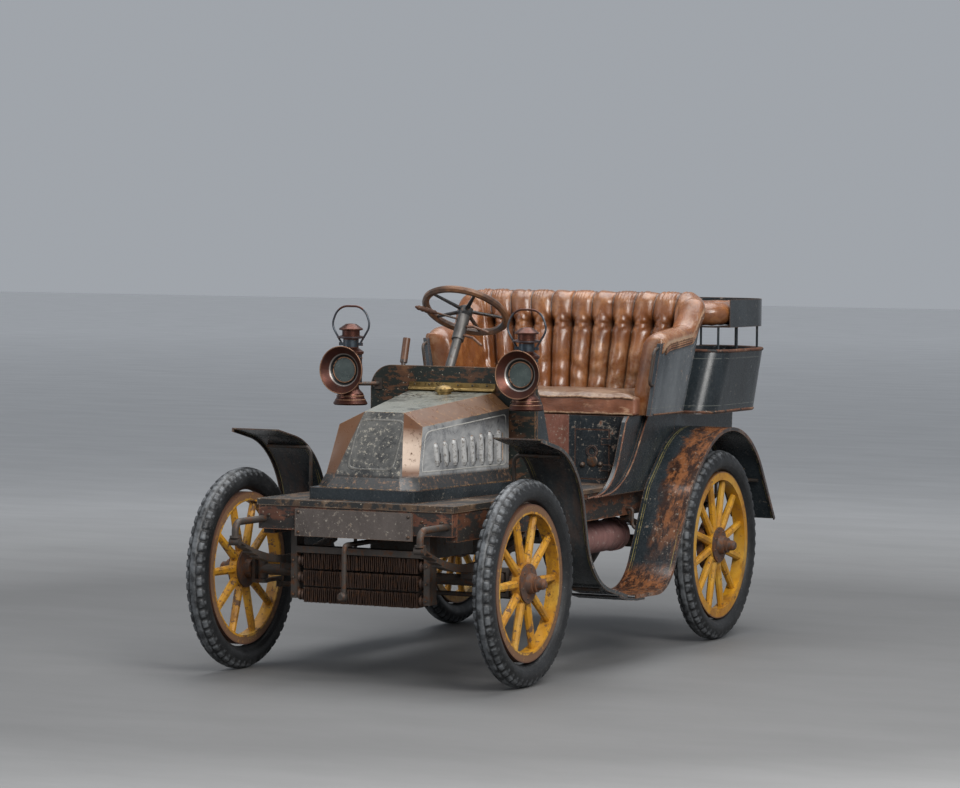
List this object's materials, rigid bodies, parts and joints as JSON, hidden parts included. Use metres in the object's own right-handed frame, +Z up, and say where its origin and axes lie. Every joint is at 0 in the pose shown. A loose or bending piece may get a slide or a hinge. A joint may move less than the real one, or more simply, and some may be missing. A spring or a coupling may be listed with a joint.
{
  "type": "brass era tonneau car",
  "caption": "Open light car with a low finned radiator, sloping bonnet, buttoned leather seat, rear-entrance tonneau, oil lamps, wings and wood-spoked wheels.",
  "frame": {"origin": "on the floor, midway along the length and width of the car", "axes": "+Z up, +Y to the rear so that the nose points to -Y, +X to the car's left"},
  "size_m": [1.364, 3.0169, 1.4422],
  "materials": {
    "frame_wood": "worn stain over timber",
    "black_iron": "dull black with rust",
    "cast": "bare casting",
    "silencer_paint": "chalky",
    "radiator_iron": "dull",
    "radiator_brown": "oxidised",
    "plate_board": "satin",
    "bonnet_paint": "worn",
    "brass": "tarnished",
    "body_paint": "worn gloss",
    "dash_wood": "worn varnish",
    "floor_wood": "worn",
    "leather": "polished by use",
    "wing_paint": "worn gloss",
    "lamp_copper": "tarnished",
    "glass": "clear",
    "steel": "worn",
    "rim_wood": "varnished",
    "tyre": "dusty",
    "wheel_wood": "chipped paint",
    "hub_iron": "rusty"
  },
  "bodies": {
    "car": {"body_sides": "body_paint", "bonnet_plinth": "body_paint", "control_levers": "steel", "cross_members": "frame_wood", "dash_board": "dash_wood", "dash_strip": "brass", "drive_line": "cast", "dumb_irons": "black_iron", "engine_block": "cast", "floor_boards": "floor_wood", "front_axle": "black_iron", "front_springs": "black_iron", "front_wings": "wing_paint", "grab_loops": "black_iron", "lamp_bodies": "lamp_copper", "lamp_brackets": "black_iron", "lamp_glasses": "glass", "number_plate": "plate_board", "radiator_frame": "radiator_iron", "radiator_tubes": "radiator_brown", "rail_frame": "body_paint", "rail_pads": "leather", "rear_axle": "black_iron", "rear_springs": "black_iron", "rear_wings": "wing_paint", "scuttle_sides": "body_paint", "seat_back": "leather", "seat_box": "body_paint", "seat_cushion": "leather", "seat_frame": "body_paint", "side_rails": "frame_wood", "silencer": "silencer_paint", "starting_handle": "black_iron", "steering_column": "steel", "steps": "wing_paint", "tonneau_body": "body_paint", "tonneau_cushions": "leather", "wing_stays": "black_iron"},
    "bonnet": {"bonnet": "bonnet_paint", "filler_cap": "brass"},
    "tail_door": {"tonneau_door": "body_paint"},
    "locker_door": {"locker_door": "body_paint"},
    "left_knuckle": {"left_knuckle": "black_iron"},
    "right_knuckle": {"right_knuckle": "black_iron"},
    "track_rod": {"track_rod": "black_iron"},
    "steering_wheel": {"steering_wheel": "rim_wood"},
    "front_left_wheel": {"front_left_tyre": "tyre", "front_left_wheel": "wheel_wood", "front_left_hub": "hub_iron"},
    "front_right_wheel": {"front_right_tyre": "tyre", "front_right_wheel": "wheel_wood", "front_right_hub": "hub_iron"},
    "rear_left_wheel": {"rear_left_tyre": "tyre", "rear_left_wheel": "wheel_wood", "rear_left_hub": "hub_iron"},
    "rear_right_wheel": {"rear_right_tyre": "tyre", "rear_right_wheel": "wheel_wood", "rear_right_hub": "hub_iron"}
  },
  "joints": [
    {"name": "left_steer", "type": "hinge", "parent": "car", "child": "left_knuckle", "pos_m": [0.495, -1.0605, 0.38], "axis": [0, 0, 1], "range_deg": [-22, 22]},
    {"name": "right_steer", "type": "hinge", "parent": "car", "child": "right_knuckle", "pos_m": [-0.495, -1.0605, 0.38], "axis": [0, 0, 1], "range_deg": [-22, 22]},
    {"name": "track_rod_pivot", "type": "hinge", "parent": "left_knuckle", "child": "track_rod", "pos_m": [0.495, -0.9305, 0.314], "axis": [0, 0, 1], "range_deg": [-22, 22]},
    {"name": "steering_wheel_turn", "type": "hinge", "parent": "car", "child": "steering_wheel", "pos_m": [-0.2, 0.0575, 1.34], "axis": [0, 0.5329, 0.8462], "range_deg": [-180, 180]},
    {"name": "bonnet_hinge", "type": "hinge", "parent": "car", "child": "bonnet", "pos_m": [0, -0.4755, 1.049], "axis": [-1, 0, 0], "range_deg": [0, 50]},
    {"name": "tail_door_hinge", "type": "hinge", "parent": "car", "child": "tail_door", "pos_m": [0.213, 1.4915, 0.9], "axis": [0, 0, -1], "range_deg": [0, 95]},
    {"name": "locker_door_hinge", "type": "hinge", "parent": "car", "child": "locker_door", "pos_m": [0.345, 0.263, 0.77], "axis": [0, 0, 1], "range_deg": [0, 95]},
    {"name": "front_left_spin", "type": "hinge", "parent": "left_knuckle", "child": "front_left_wheel", "pos_m": [0.585, -1.0605, 0.38], "axis": [1, 0, 0], "continuous": true},
    {"name": "front_right_spin", "type": "hinge", "parent": "right_knuckle", "child": "front_right_wheel", "pos_m": [-0.585, -1.0605, 0.38], "axis": [1, 0, 0], "continuous": true},
    {"name": "rear_left_spin", "type": "hinge", "parent": "car", "child": "rear_left_wheel", "pos_m": [0.592, 0.7875, 0.387], "axis": [1, 0, 0], "continuous": true},
    {"name": "rear_right_spin", "type": "hinge", "parent": "car", "child": "rear_right_wheel", "pos_m": [-0.592, 0.7875, 0.387], "axis": [1, 0, 0], "continuous": true}
  ],
  "couplings": [
    {"joint": "right_steer", "follows": "left_steer", "ratio": 1},
    {"joint": "track_rod_pivot", "follows": "left_steer", "ratio": -1},
    {"joint": "steering_wheel_turn", "follows": "left_steer", "ratio": 7.5}
  ]
}
